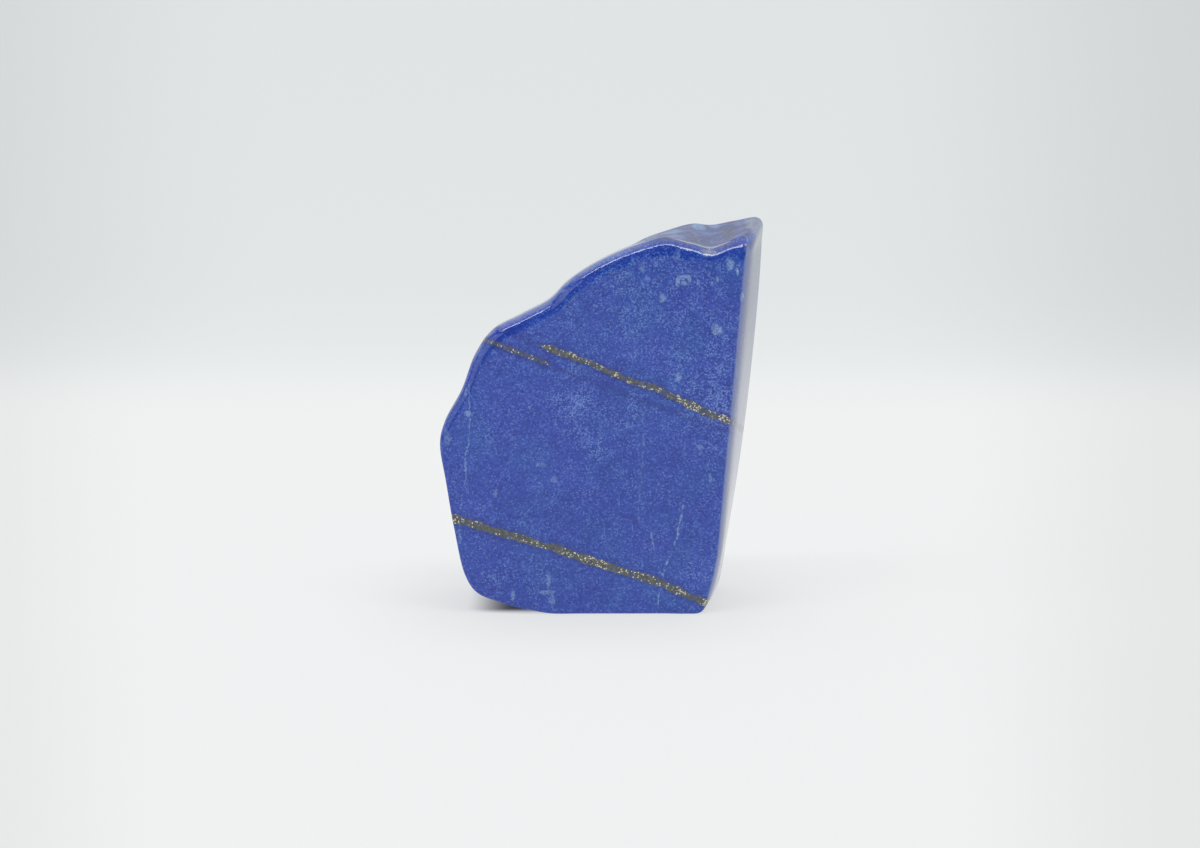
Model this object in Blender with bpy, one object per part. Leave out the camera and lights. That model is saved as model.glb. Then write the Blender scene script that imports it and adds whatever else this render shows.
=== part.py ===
# Polished lapis lazuli: one freeform slab, cut from a single lump and lapped smooth all over.
# The front is a nearly flat face, the right side and the underside are flat cuts,
# and the top and left keep the lump's own wandering outline, rounded over by the polish.

import bmesh
import bpy
import numpy as np

NAME = "polished_lapis_stone"
MM = 0.001

# Sizes in millimetres. X runs to the right along the front, Y away from it and Z up from the floor.
EDGE_THICKNESS = 32.5  # from the rim of the front face to the rim of the back face
FRONT_DOME = 0.7  # how far the middle of the front stands proud
BACK_DOME = 1.8  # the same for the back
DOME_REACH = np.array((42.0, 52.0))  # how far across and up from the middle each dome falls to nothing
CUT_EDGE = 0.9  # rounding where a flat cut meets the front
EDGE_ROLL = 1.1  # how far the right side swells out beyond a straight cut, close behind its front edge
ROLL_REACH = 0.1  # how soon it does so, as a share of the thickness
ROLL_RISE = 6.0  # height over which that swelling grows from nothing at the base
BACK_EDGE = 2.5  # rounding all round the back
TABLE_DROP = 22.0  # degrees by which the front rounding stops short of square below a flat table
SOFT_START = 0.06  # how gently that rounding leaves the flat of the front
TROUGH_X = 29.8  # the hollow that runs from front to back across the top
TROUGH_WIDTH = 4.5
TROUGH_GRIND = 0.6  # depth that the front was ground back through the rounding there

# The outline, counter-clockwise as seen from the front: front x and z, then back x and z.
RIGHT_SIDE = (
    (26.8, 0.0, 31.8, 0.0),
    (28.3, 0.9, 33.5, 0.9),
    (29.8, 5.2, 34.7, 5.2),
    (32.0, 15.0, 36.2, 15.0),
    (33.1, 27.0, 38.1, 27.0),
    (34.2, 40.5, 40.0, 40.5),
    (36.1, 63.0, 42.4, 62.5),
    (37.8, 84.0, 44.2, 84.5),
    (38.9, 97.0, 44.9, 99.0),
    (39.5, 102.2, 44.9, 105.0),
)
# Over the top and down the left side, each point with two numbers more:
# the radius of its rounding, and how much of a flat table lies behind it.
OVER_TOP = (
    (38.6, 103.1, 43.5, 106.1, 6.3, 1.0),
    (34.6, 101.9, 37.4, 105.1, 6.2, 1.0),
    (29.8, 100.2, 31.0, 103.9, 6.0, 1.0),
    (24.2, 101.4, 25.6, 104.2, 5.6, 1.0),
    (17.5, 102.8, 18.4, 102.2, 5.2, 1.0),
    (11.5, 101.4, 11.5, 99.6, 4.4, 0.6),
    (4.0, 98.6, 3.5, 94.0, 4.0, 0.1),
    (-4.0, 94.4, -5.0, 86.7, 4.0, 0.0),
    (-9.1, 90.7, -12.0, 81.7, 4.0, 0.0),
    (-13.4, 86.3, -18.0, 77.7, 4.0, 0.0),
    (-21.4, 82.0, -25.0, 73.2, 4.0, 0.0),
    (-28.8, 78.0, -31.1, 67.5, 4.0, 0.0),
    (-33.5, 71.7, -35.1, 60.5, 3.6, 0.0),
    (-37.3, 61.9, -38.4, 53.0, 3.0, 0.0),
    (-41.9, 53.3, -41.0, 46.5, 2.6, 0.0),
    (-43.3, 47.5, -41.9, 41.0, 1.8, 0.0),
    (-41.7, 36.5, -40.6, 31.0, 0.9, 0.0),
    (-39.7, 24.0, -38.6, 20.0, 0.8, 0.0),
    (-36.7, 10.4, -35.6, 9.0, 0.9, 0.0),
    (-33.6, 5.8, -32.4, 5.0, 0.9, 0.0),
    (-27.0, 3.2, -25.9, 2.7, 0.4, 0.0),
    (-20.0, 1.2, -19.2, 1.0, 0.2, 0.0),
)
UNDERSIDE = (
    (-13.5, 0.0, -13.0, 0.0),
    (-5.0, 0.0, -4.5, 0.0),
    (6.0, 0.0, 7.5, 0.0),
    (17.0, 0.0, 19.5, 0.0),
)
CENTRE = np.array((0.0, 48.0))  # x and z of the middle of both faces
PAST_CORNER = 6.0  # how far the lines of the roundings run on past the top right corner

# How finely the form is drawn.
STEPS = 4  # along the outline, from one of its points to the next
FRONT_INSETS = (7.5, 5.2, 3.8, 2.7, 1.8, 1.1, 0.6, 0.25, 0.06, 0.0)  # rings out to the front edge
BACK_INSETS = (5.0, 3.0, 2.0, 1.3, 0.7, 0.3, 0.08, 0.0)  # the same at the back edge
FACE_SHARES = (0.2, 0.45, 0.72)  # rings nearer the middle, as shares of the way out
SIDE_SHARES = (0.02, 0.07, 0.16, 0.3, 0.46, 0.62, 0.78, 0.9, 0.97)  # rings from front to back


# A smooth closed curve through the rows, which carries all their numbers along with it.
def smooth_loop(rows):
    onward = np.roll(rows, -1, axis=0) - rows
    gap = np.sqrt(np.linalg.norm(onward[:, :2], axis=1))[:, None]
    slope = onward / gap
    gap_before = np.roll(gap, 1, axis=0)
    tangent = (gap_before * slope + gap * np.roll(slope, 1, axis=0)) / (gap_before + gap)
    end = np.roll(rows, -1, axis=0)
    leave = tangent * gap
    arrive = np.roll(tangent, -1, axis=0) * gap
    steps = []
    for t in np.arange(STEPS) / STEPS:
        bend = t**2 * (3 * (end - rows) - 2 * leave - arrive)
        settle = t**3 * (2 * (rows - end) + leave + arrive)
        steps.append(rows + t * leave + bend + settle)
    return np.stack(steps, axis=1).reshape(-1, rows.shape[1])


# How far each point is from the line, and the line's other numbers at the nearest place.
def nearest(points, line):
    here, onward = line[:-1], np.diff(line, axis=0)
    offset = points[:, None] - here[None, :, :2]
    along = (offset * onward[:, :2]).sum(axis=2) / (onward[:, :2] ** 2).sum(axis=1)
    along = np.clip(along, 0.0, 1.0)[:, :, None]
    away = np.linalg.norm(offset - along * onward[:, :2], axis=2)
    best = away.argmin(axis=1)
    each = np.arange(len(points))
    return away[each, best], (here[best] + along[each, best] * onward[best])[:, 2:]


# The same line with its end carried straight on.
def run_on(line):
    last = line[-1].copy()
    heading = line[-1, :2] - line[-2, :2]
    last[:2] += heading / np.linalg.norm(heading) * PAST_CORNER
    return np.vstack((line, last))


# Depth of a quarter round, at a distance in from its edge.
def quarter_round(distance, radius):
    return radius - np.sqrt(radius**2 - np.maximum(radius - distance, 0.0) ** 2)


# The height of a low dome with a certain rise, at points on it.
def dome(points, rise):
    return rise * (1.0 - (((points - CENTRE) / DOME_REACH) ** 2).sum(axis=1))


# Depth of the front face at points on it: the rounding over the top, the cut edges and the dome.
def front_depth(points, top_line, cut_line):
    distance, at_line = nearest(points, top_line)
    radius, table = at_line[:, 2], at_line[:, 3]
    sine = np.sin(np.radians(90.0 - TABLE_DROP * table)) - distance / radius
    rounding = radius * (1.0 - np.sqrt(1.0 - np.clip(sine, 0.0, 1.0) ** 2))
    trough = TROUGH_GRIND * np.exp(-(((points[:, 0] - TROUGH_X) / TROUGH_WIDTH) ** 2))
    rounding = np.maximum(rounding - trough, 0.0)
    rounding = rounding**2 / (rounding + SOFT_START)
    edge = quarter_round(nearest(points, cut_line)[0], CUT_EDGE)
    return rounding + edge - dome(points, FRONT_DOME)


# Depth of the back face at points on it.
def back_depth(points, back_line):
    edge = quarter_round(nearest(points, back_line)[0], BACK_EDGE)
    return EDGE_THICKNESS - edge + dome(points, BACK_DOME)


# All the rings of a face, from its middle out to its edge.
def face_rings(edge, insets, depth, lines):
    spoke = edge - CENTRE
    reach = np.linalg.norm(spoke, axis=1)[:, None]
    rings = []
    for share in [*FACE_SHARES, *(1.0 - inset / reach for inset in insets)]:
        points = CENTRE + spoke * share
        rings.append(np.column_stack((points[:, 0], depth(points, *lines), points[:, 1])))
    return rings


# The rings between the two faces: straight across a cut or a table, with the roll of the right side,
# and elsewhere leaving the front squarely before they fall away to the back.
def side_rings(front, back, table, roll):
    middle = (front + back) / 2
    flat = np.clip(table, 0.0, 1.0)[:, None]
    middle[:, [0, 2]] += (1.0 - flat) * (front - middle)[:, [0, 2]]
    rings = []
    for t in SIDE_SHARES:
        ring = (1 - t) ** 2 * front + 2 * t * (1 - t) * middle + t**2 * back
        ring[:, 0] += EDGE_ROLL * roll * (1.0 - t - np.exp(-t / ROLL_REACH))
        rings.append(ring)
    return rings


# Every ring of the stone, and the point in the middle of its front and of its back.
def stone_rings():
    cut = [(*row, CUT_EDGE, 1.0, min(row[1] / ROLL_RISE, 1.0)) for row in RIGHT_SIDE]
    over = [(*row, 0.0) for row in OVER_TOP]
    base = [(*row, CUT_EDGE, 1.0, 0.0) for row in UNDERSIDE]
    loop = smooth_loop(np.array([*cut, *over, *base]))
    top_right = len(RIGHT_SIDE) * STEPS
    bottom_left = top_right + (len(OVER_TOP) - 1) * STEPS
    top_line = run_on(loop[bottom_left : top_right - 1 : -1])
    cut_line = run_on(np.vstack((loop[bottom_left:], loop[: top_right - STEPS + 1])))
    back_line = np.vstack((loop, loop[:1]))[:, 2:4]
    front = face_rings(loop[:, :2], FRONT_INSETS, front_depth, (top_line, cut_line))
    back = face_rings(loop[:, 2:4], BACK_INSETS, back_depth, (back_line,))[::-1]
    rings = front + side_rings(front[-1], back[0], loop[:, 5], loop[:, 6]) + back
    x, z = CENTRE
    poles = ((x, -FRONT_DOME, z), (x, EDGE_THICKNESS + BACK_DOME, z))
    return rings, poles


# The closed mesh over the rings, standing on the floor with its origin under its middle.
def stone_mesh():
    rings, poles = stone_rings()
    count = len(rings[0])
    points = np.vstack((*rings, *poles))
    points[:, 2] = np.maximum(points[:, 2], 0.0)
    low, high = points.min(axis=0), points.max(axis=0)
    points[:, :2] -= (low + high)[:2] / 2
    shape = bmesh.new()
    corners = [shape.verts.new(point) for point in points * MM]
    front_pole, back_pole = corners[-2:]
    last = len(rings) - 1
    for side in range(count):
        after = (side + 1) % count
        for ring in range(last):
            here, there = ring * count, (ring + 1) * count
            quad = (here + side, here + after, there + after, there + side)
            shape.faces.new([corners[corner] for corner in quad])
        shape.faces.new((front_pole, corners[after], corners[side]))
        shape.faces.new((back_pole, corners[last * count + side], corners[last * count + after]))
    bmesh.ops.recalc_face_normals(shape, faces=shape.faces)
    mesh = bpy.data.meshes.new(NAME)
    shape.to_mesh(mesh)
    shape.free()
    mesh.shade_smooth()
    return mesh


def lapis_material():
    material = bpy.data.materials.new("polished_lapis")
    material.use_nodes = True
    shader = material.node_tree.nodes["Principled BSDF"]
    shader.inputs["Base Color"].default_value = (0.04, 0.08, 0.42, 1.0)
    shader.inputs["Roughness"].default_value = 0.15
    shader.inputs["Metallic"].default_value = 0.0
    return material


for old in list(bpy.context.scene.objects):
    bpy.data.objects.remove(old)
collection = bpy.data.collections.new(NAME)
bpy.context.scene.collection.children.link(collection)
stone = bpy.data.objects.new(NAME, stone_mesh())
stone.data.materials.append(lapis_material())
collection.objects.link(stone)
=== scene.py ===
# Polished lapis lazuli: the dressed stone, its mineral material and a small pale studio.

import math

import bpy
import numpy as np
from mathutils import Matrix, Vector


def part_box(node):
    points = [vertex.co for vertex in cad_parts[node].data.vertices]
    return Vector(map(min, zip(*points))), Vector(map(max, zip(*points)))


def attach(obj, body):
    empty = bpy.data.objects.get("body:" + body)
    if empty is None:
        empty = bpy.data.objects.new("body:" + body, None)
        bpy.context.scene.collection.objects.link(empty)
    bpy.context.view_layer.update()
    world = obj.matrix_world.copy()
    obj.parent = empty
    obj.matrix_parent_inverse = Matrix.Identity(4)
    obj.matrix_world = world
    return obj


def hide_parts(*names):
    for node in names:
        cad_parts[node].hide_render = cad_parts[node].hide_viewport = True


mm = 0.001

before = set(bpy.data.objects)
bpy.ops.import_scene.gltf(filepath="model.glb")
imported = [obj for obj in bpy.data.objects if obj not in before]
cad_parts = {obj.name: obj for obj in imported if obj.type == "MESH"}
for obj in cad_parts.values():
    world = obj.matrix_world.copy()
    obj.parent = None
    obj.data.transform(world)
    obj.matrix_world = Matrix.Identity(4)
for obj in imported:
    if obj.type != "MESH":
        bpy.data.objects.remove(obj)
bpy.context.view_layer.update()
print("stage: frame loaded")


# The stone's form in millimetres: x to the right along the front, y away from it, z up.
stone = {
    "edgeThickness": 32.5,  # from the rim of the front face to the rim of the back face
    "frontDome": 0.7,  # how far the middle of the front stands proud
    "backDome": 1.8,
    "domeReach": (42.0, 52.0),  # how far across and up from the middle each dome falls to nothing
    "cutEdge": 0.9,  # rounding where a flat cut meets the front
    "edgeRoll": 1.1,  # how far the right side swells past a straight cut, close behind its front edge
    "rollReach": 0.1,  # how soon it does so, as a share of the thickness
    "rollRise": 6.0,  # height over which that swelling grows from nothing at the base
    "backEdge": 2.5,
    "tableDrop": 22.0,  # degrees by which the front rounding stops short of square below a flat table
    "softStart": 0.06,  # how gently that rounding leaves the flat of the front
    "troughX": 29.8,  # the hollow that runs from front to back across the top
    "troughWidth": 4.5,
    "troughGrind": 0.6,
    "centre": (0.0, 48.0),  # x and z of the middle of both faces
    "pastCorner": 6.0,  # how far the lines of the roundings run on past the top right corner
    # The outline, counter-clockwise from the lower right: front x and z, then back x and z.
    "rightSide": (
        (26.8, 0.0, 31.8, 0.0),
        (28.3, 0.9, 33.5, 0.9),
        (29.8, 5.2, 34.7, 5.2),
        (32.0, 15.0, 36.2, 15.0),
        (33.1, 27.0, 38.1, 27.0),
        (34.2, 40.5, 40.0, 40.5),
        (36.1, 63.0, 42.4, 62.5),
        (37.8, 84.0, 44.2, 84.5),
        (38.9, 97.0, 44.9, 99.0),
        (39.5, 102.2, 44.9, 105.0),
    ),
    # These carry two numbers more: the radius of the rounding, and how flat a table lies behind it.
    "overTop": (
        (38.6, 103.1, 43.5, 106.1, 6.3, 1.0),
        (34.6, 101.9, 37.4, 105.1, 6.2, 1.0),
        (29.8, 100.2, 31.0, 103.9, 6.0, 1.0),
        (24.2, 101.4, 25.6, 104.2, 5.6, 1.0),
        (17.5, 102.8, 18.4, 102.2, 5.2, 1.0),
        (11.5, 101.4, 11.5, 99.6, 4.4, 0.6),
        (4.0, 98.6, 3.5, 94.0, 4.0, 0.1),
        (-4.0, 94.4, -5.0, 86.7, 4.0, 0.0),
        (-9.1, 90.7, -12.0, 81.7, 4.0, 0.0),
        (-13.4, 86.3, -18.0, 77.7, 4.0, 0.0),
        (-21.4, 82.0, -25.0, 73.2, 4.0, 0.0),
        (-28.8, 78.0, -31.1, 67.5, 4.0, 0.0),
        (-33.5, 71.7, -35.1, 60.5, 3.6, 0.0),
        (-37.3, 61.9, -38.4, 53.0, 3.0, 0.0),
        (-41.9, 53.3, -41.0, 46.5, 2.6, 0.0),
        (-43.3, 47.5, -41.9, 41.0, 1.8, 0.0),
        (-41.7, 36.5, -40.6, 31.0, 0.9, 0.0),
        (-39.7, 24.0, -38.6, 20.0, 0.8, 0.0),
        (-36.7, 10.4, -35.6, 9.0, 0.9, 0.0),
        (-33.6, 5.8, -32.4, 5.0, 0.9, 0.0),
        (-27.0, 3.2, -25.9, 2.7, 0.4, 0.0),
        (-20.0, 1.2, -19.2, 1.0, 0.2, 0.0),
    ),
    "underside": (
        (-13.5, 0.0, -13.0, 0.0),
        (-5.0, 0.0, -4.5, 0.0),
        (6.0, 0.0, 7.5, 0.0),
        (17.0, 0.0, 19.5, 0.0),
    ),
    # How finely it is drawn.
    "spacing": 0.55,  # between points along the outline
    "frontRound": (7.5, 30),  # widest inset of the rings round the front edge, and how many there are
    "backRound": (5.0, 18),
    "frontRings": 14,  # from the middle out to the rounding
    "backRings": 9,
    "sideRings": 36,  # from the front edge to the back edge
    "seamInset": 1.0,  # where the map of the front face ends and that of the side strip starts
    "mapReach": 202.0,  # millimetres of stone across the whole baked map
    "mapGap": 3.0,
}


# A smooth closed curve through the rows, which carries all their numbers along with it.
def smoothLoop(rows, spacing):
    onward = np.roll(rows, -1, axis=0) - rows
    chord = np.linalg.norm(onward[:, :2], axis=1)
    gap = np.sqrt(chord)[:, None]
    slope = onward / gap
    gapBefore = np.roll(gap, 1, axis=0)
    tangent = (gapBefore * slope + gap * np.roll(slope, 1, axis=0)) / (gapBefore + gap)
    points, starts = [], []
    for i, row in enumerate(rows):
        end = rows[(i + 1) % len(rows)]
        leave, arrive = tangent[i] * gap[i], tangent[(i + 1) % len(rows)] * gap[i]
        steps = max(2, round(chord[i] / spacing))
        starts.append(len(points))
        for t in np.arange(steps) / steps:
            bend = t**2 * (3 * (end - row) - 2 * leave - arrive)
            settle = t**3 * (2 * (row - end) + leave + arrive)
            points.append(row + t * leave + bend + settle)
    return np.array(points), starts


# How far each point is from the line, and the line's other numbers at the nearest place.
def nearest(points, line):
    here, onward = line[:-1], np.diff(line, axis=0)
    offset = points[:, None] - here[None, :, :2]
    along = (offset * onward[:, :2]).sum(axis=2) / (onward[:, :2] ** 2).sum(axis=1)
    along = np.clip(along, 0.0, 1.0)[:, :, None]
    away = np.linalg.norm(offset - along * onward[:, :2], axis=2)
    best = away.argmin(axis=1)
    each = np.arange(len(points))
    return away[each, best], (here[best] + along[each, best] * onward[best])[:, 2:]


# The same line with its end carried straight on.
def runOn(line):
    last = line[-1].copy()
    heading = line[-1, :2] - line[-2, :2]
    last[:2] += heading / np.linalg.norm(heading) * stone["pastCorner"]
    return np.vstack((line, last))


def quarterRound(distance, radius):
    return radius - np.sqrt(radius**2 - np.maximum(radius - distance, 0.0) ** 2)


def dome(points, rise):
    middle, reach = np.array(stone["centre"]), np.array(stone["domeReach"])
    return rise * (1.0 - (((points - middle) / reach) ** 2).sum(axis=1))


# Depth of the front face at points on it: the rounding over the top, the cut edges and the dome.
def frontDepth(points, topLine, cutLine):
    distance, atLine = nearest(points, topLine)
    radius, table = atLine[:, 2], atLine[:, 3]
    sine = np.sin(np.radians(90.0 - stone["tableDrop"] * table)) - distance / radius
    rounding = radius * (1.0 - np.sqrt(1.0 - np.clip(sine, 0.0, 1.0) ** 2))
    across = (points[:, 0] - stone["troughX"]) / stone["troughWidth"]
    rounding = np.maximum(rounding - stone["troughGrind"] * np.exp(-(across**2)), 0.0)
    rounding = rounding**2 / (rounding + stone["softStart"])
    edge = quarterRound(nearest(points, cutLine)[0], stone["cutEdge"])
    return rounding + edge - dome(points, stone["frontDome"])


def backDepth(points, backLine):
    edge = quarterRound(nearest(points, backLine)[0], stone["backEdge"])
    return stone["edgeThickness"] - edge + dome(points, stone["backDome"])


# Insets of the rings round an edge, closer together towards the edge.
def roundInsets(widest, count):
    return widest * (1.0 - np.sin(np.linspace(0.0, math.pi / 2, count)))


# All the rings of a face, from near its middle out to its edge.
def faceRings(edge, inner, insets, depth, lines):
    middle = np.array(stone["centre"])
    spoke = edge - middle
    reach = np.linalg.norm(spoke, axis=1)[:, None]
    shares = [(i + 1) / (inner + 1) * (1.0 - insets[0] / reach) for i in range(inner)]
    rings = []
    for share in [*shares, *(1.0 - inset / reach for inset in insets)]:
        points = middle + spoke * share
        rings.append(np.column_stack((points[:, 0], depth(points, *lines), points[:, 1])))
    return rings


# The rings between the faces: straight across a cut or a table, elsewhere square to the front at first.
def sideRings(front, back, table, roll):
    middle = (front + back) / 2
    flat = np.clip(table, 0.0, 1.0)[:, None]
    middle[:, [0, 2]] += (1.0 - flat) * (front - middle)[:, [0, 2]]
    rings = []
    for t in (1.0 - np.cos(np.linspace(0.0, math.pi, stone["sideRings"] + 2)[1:-1])) / 2:
        ring = (1 - t) ** 2 * front + 2 * t * (1 - t) * middle + t**2 * back
        ring[:, 0] += stone["edgeRoll"] * roll * (1.0 - t - np.exp(-t / stone["rollReach"]))
        rings.append(ring)
    return rings


# Every ring of the stone, the two middle points, and where the side strip's rings start and end.
def stoneRings():
    edge, rise = stone["cutEdge"], stone["rollRise"]
    cut = [(*row, edge, 1.0, min(row[1] / rise, 1.0)) for row in stone["rightSide"]]
    over = [(*row, 0.0) for row in stone["overTop"]]
    base = [(*row, edge, 1.0, 0.0) for row in stone["underside"]]
    loop, starts = smoothLoop(np.array([*cut, *over, *base]), stone["spacing"])
    topRight = starts[len(cut)]
    lastCut = starts[len(cut) - 1]
    bottomLeft = starts[len(cut) + len(over) - 1]
    topLine = runOn(loop[bottomLeft : topRight - 1 : -1])
    cutLine = runOn(np.vstack((loop[bottomLeft:], loop[: lastCut + 1])))
    backLine = np.vstack((loop, loop[:1]))[:, 2:4]
    frontInsets, backInsets = roundInsets(*stone["frontRound"]), roundInsets(*stone["backRound"])
    front = faceRings(loop[:, :2], stone["frontRings"], frontInsets, frontDepth, (topLine, cutLine))
    back = faceRings(loop[:, 2:4], stone["backRings"], backInsets, backDepth, (backLine,))[::-1]
    rings = front + sideRings(front[-1], back[0], loop[:, 5], loop[:, 6]) + back
    x, z = stone["centre"]
    poles = ((x, -stone["frontDome"], z), (x, stone["edgeThickness"] + stone["backDome"], z))
    seam = stone["frontRings"] + int((frontInsets > stone["seamInset"]).sum())
    seamBack = len(rings) - 1 - stone["backRings"] - int((backInsets > stone["seamInset"]).sum())
    return rings, poles, seam, seamBack


# Places on the baked map, in millimetres: the front, the back turned over beside it, and how far each
# point of the strip round the sides lies along it and across it.
def mapPlaces(points, rings, count, seam, seamBack):
    gap = stone["mapGap"]
    low, high = points.min(axis=0), points.max(axis=0)
    width, height = high[0] - low[0], high[2] - low[2]
    flat = points[:, [0, 2]] - low[[0, 2]] + gap
    turned = np.column_stack((width - (points[:, 0] - low[0]) + 2 * gap + width, flat[:, 1]))
    strip = np.array(rings[seam : seamBack + 1])
    across = np.linalg.norm(np.diff(strip, axis=0), axis=2).cumsum(axis=0)
    across = np.vstack((np.zeros(count), across))
    outline = np.vstack((strip.mean(axis=0), strip.mean(axis=0)[:1]))
    along = np.concatenate(((0.0,), np.linalg.norm(np.diff(outline, axis=0), axis=1).cumsum()))
    return flat, turned, along, across, height + 2 * gap


def stoneMesh():
    rings, poles, seam, seamBack = stoneRings()
    count, last = len(rings[0]), len(rings) - 1
    points = np.vstack((*rings, *poles))
    points[:, 2] = np.maximum(points[:, 2], 0.0)
    low, high = points.min(axis=0), points.max(axis=0)
    solidLow, solidHigh = (np.array(corner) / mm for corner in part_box("polished_lapis_stone"))
    points = solidLow + (points - low) / (high - low) * (solidHigh - solidLow)
    side = np.arange(count)
    after = (side + 1) % count
    corners = []
    for ring in range(last):
        here, there = ring * count, (ring + 1) * count
        corners.append(np.column_stack((here + side, there + side, there + after, here + after)))
    frontPole, backPole = len(points) - 2, len(points) - 1
    fan = [(frontPole, s, a) for s, a in zip(side, after)]
    fan += [(backPole, last * count + a, last * count + s) for s, a in zip(side, after)]
    mesh = bpy.data.meshes.new("polishedLapis")
    mesh.from_pydata((points * mm).tolist(), [], [*np.vstack(corners).tolist(), *fan])
    mesh.shade_smooth()
    layOutMap(mesh, points, rings, count, seam, seamBack)
    return mesh


# The baked map: front and back flat, and the strip round the sides cut into two rows above them.
def layOutMap(mesh, points, rings, count, seam, seamBack):
    flat, turned, along, across, above = mapPlaces(points, rings, count, seam, seamBack)
    gap, half = stone["mapGap"], count // 2
    rowHeight = across.max() + gap
    layer = mesh.uv_layers.new(name="OFBake")
    last = len(rings) - 1
    for face in mesh.polygons:
        ring, side = divmod(face.index, count)
        for loop in face.loop_indices:
            vertex = mesh.loops[loop].vertex_index
            if ring < seam or ring == last:
                place = flat[vertex]
            elif ring >= seamBack:
                place = turned[vertex]
            else:
                spoke = vertex % count
                row = int(side >= half)
                way = along[spoke if spoke or side < half else count] - along[half] * row
                place = (gap + way, above + rowHeight * row + across[vertex // count - seam][spoke])
            layer.data[loop].uv = (place[0] / stone["mapReach"], place[1] / stone["mapReach"])


def addNode(tree, kind, **settings):
    node = tree.nodes.new(kind)
    column, line = divmod(len(tree.nodes), 8)
    node.location = (column * 220, -line * 260)
    for name, value in settings.items():
        setattr(node, name, value)
    return node


# Links a socket, or sets a plain value.
def feed(tree, socket, value):
    if isinstance(value, bpy.types.NodeSocket):
        tree.links.new(value, socket)
    else:
        socket.default_value = value


def calc(tree, operation, *values, clamp=False):
    node = addNode(tree, "ShaderNodeMath", operation=operation, use_clamp=clamp)
    for socket, value in zip(node.inputs, values):
        feed(tree, socket, value)
    return node.outputs[0]


def times(tree, first, *rest):
    for value in rest:
        first = calc(tree, "MULTIPLY", first, value)
    return first


def most(tree, first, *rest):
    for value in rest:
        first = calc(tree, "MAXIMUM", first, value)
    return first


def mulAdd(tree, value, factor, shift, clamp=False):
    return calc(tree, "MULTIPLY_ADD", value, factor, shift, clamp=clamp)


def vectorCalc(tree, operation, first, second=(0.0, 0.0, 0.0)):
    node = addNode(tree, "ShaderNodeVectorMath", operation=operation)
    feed(tree, node.inputs[0], first)
    feed(tree, node.inputs["Scale" if operation == "SCALE" else 1], second)
    return node.outputs["Value" if operation in ("LENGTH", "DISTANCE") else "Vector"]


def axes(tree, vector):
    node = addNode(tree, "ShaderNodeSeparateXYZ")
    feed(tree, node.inputs[0], vector)
    return node.outputs


def stretched(tree, position, scale, turn=(0.0, 0.0, 0.0)):
    node = addNode(tree, "ShaderNodeMapping")
    feed(tree, node.inputs["Vector"], position)
    node.inputs["Scale"].default_value = scale
    node.inputs["Rotation"].default_value = turn
    return node.outputs["Vector"]


# 0 below one value and 1 above the other, with a smooth step between; it falls if the first is larger.
def step(tree, value, start, end):
    node = addNode(tree, "ShaderNodeMapRange", interpolation_type="SMOOTHSTEP")
    for name, given in (("Value", value), ("From Min", start), ("From Max", end)):
        feed(tree, node.inputs[name], given)
    return node.outputs["Result"]


def blend(tree, share, first, second, way="MIX"):
    node = addNode(tree, "ShaderNodeMix", data_type="RGBA", blend_type=way)
    feed(tree, node.inputs["Factor"], share)
    for socket, colour in ((node.inputs[6], first), (node.inputs[7], second)):
        feed(tree, socket, (*colour, 1.0) if isinstance(colour, tuple) else colour)
    return node.outputs[2]


# Soft noise from 0 to 1, with features of about this size in millimetres.
def noise(tree, position, size, detail=2.0, rough=0.5):
    node = addNode(tree, "ShaderNodeTexNoise")
    feed(tree, node.inputs["Vector"], position)
    node.inputs["Scale"].default_value = 1.0 / size
    node.inputs["Detail"].default_value = detail
    node.inputs["Roughness"].default_value = rough
    return node.outputs["Fac"]


# The same noise about zero.
def uneven(tree, position, size, detail=2.0, rough=0.5):
    return calc(tree, "SUBTRACT", noise(tree, position, size, detail, rough), 0.5)


def newGroup(name, inputs, outputs):
    tree = bpy.data.node_groups.new(name, "ShaderNodeTree")
    for label, kind, value in inputs:
        socket = tree.interface.new_socket(name=label, in_out="INPUT", socket_type=kind)
        socket.default_value = value
    for label, kind in outputs:
        tree.interface.new_socket(name=label, in_out="OUTPUT", socket_type=kind)
    given = tree.nodes.new("NodeGroupInput").outputs
    wanted = tree.nodes.new("NodeGroupOutput").inputs
    return tree, given, wanted


def placeGroup(tree, group, **values):
    node = addNode(tree, "ShaderNodeGroup", node_tree=group)
    for name, value in values.items():
        feed(tree, node.inputs[name], value)
    return node.outputs


def addRamp(tree, value, colours):
    node = addNode(tree, "ShaderNodeValToRGB")
    ramp = node.color_ramp
    while len(ramp.elements) < len(colours):
        ramp.elements.new(0.5)
    for element, (place, colour) in zip(ramp.elements, colours):
        element.position = place
        element.color = (*colour, 1.0)
    feed(tree, node.inputs["Fac"], value)
    return node.outputs["Color"]


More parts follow.
